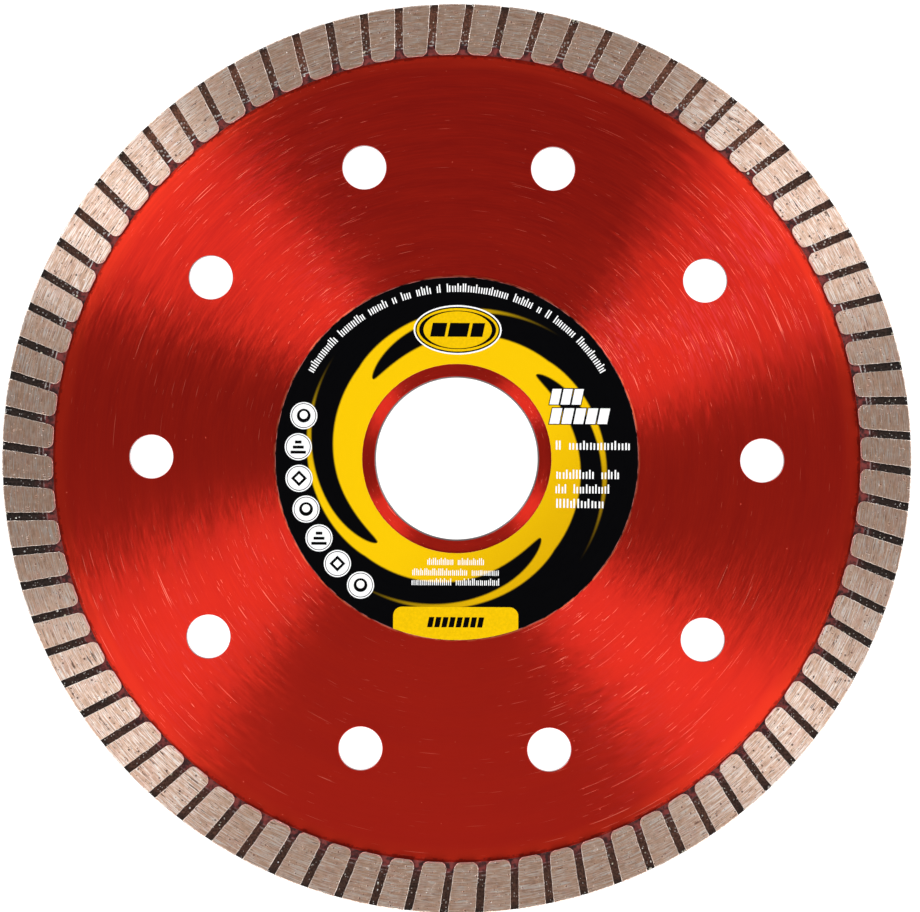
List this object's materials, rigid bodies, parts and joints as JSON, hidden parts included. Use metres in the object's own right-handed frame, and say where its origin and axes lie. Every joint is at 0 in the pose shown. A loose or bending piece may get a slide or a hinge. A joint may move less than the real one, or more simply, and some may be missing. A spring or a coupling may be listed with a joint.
{
  "type": "diamond blade",
  "caption": "Flat steel disc with a continuous diamond rim slotted on both faces, an arbor bore, a circle of cooling holes, red lacquer and a printed ring label.",
  "frame": {"origin": "centre of the arbor bore, half way through the steel core", "axes": "+Z along the arbor axis, out of the labelled face, +Y towards the top of the label as it is read"},
  "size_m": [0.125, 0.125, 0.0022],
  "materials": {
    "core_steel": "circular grinding marks, bare in the bore and the holes",
    "sintered_matrix": "sintered bronze and iron bond, faces ground round the axis",
    "diamond": "yellowish synthetic crystals, ground flush",
    "red_lacquer": "translucent gloss red over circular-ground steel",
    "label": "black film printed in yellow and white"
  },
  "bodies": {
    "root": {"steel_core": "core_steel", "diamond_rim": "sintered_matrix", "diamond_grit": "diamond", "front_lacquer": "red_lacquer", "back_lacquer": "red_lacquer", "front_label": "label"}
  },
  "joints": []
}
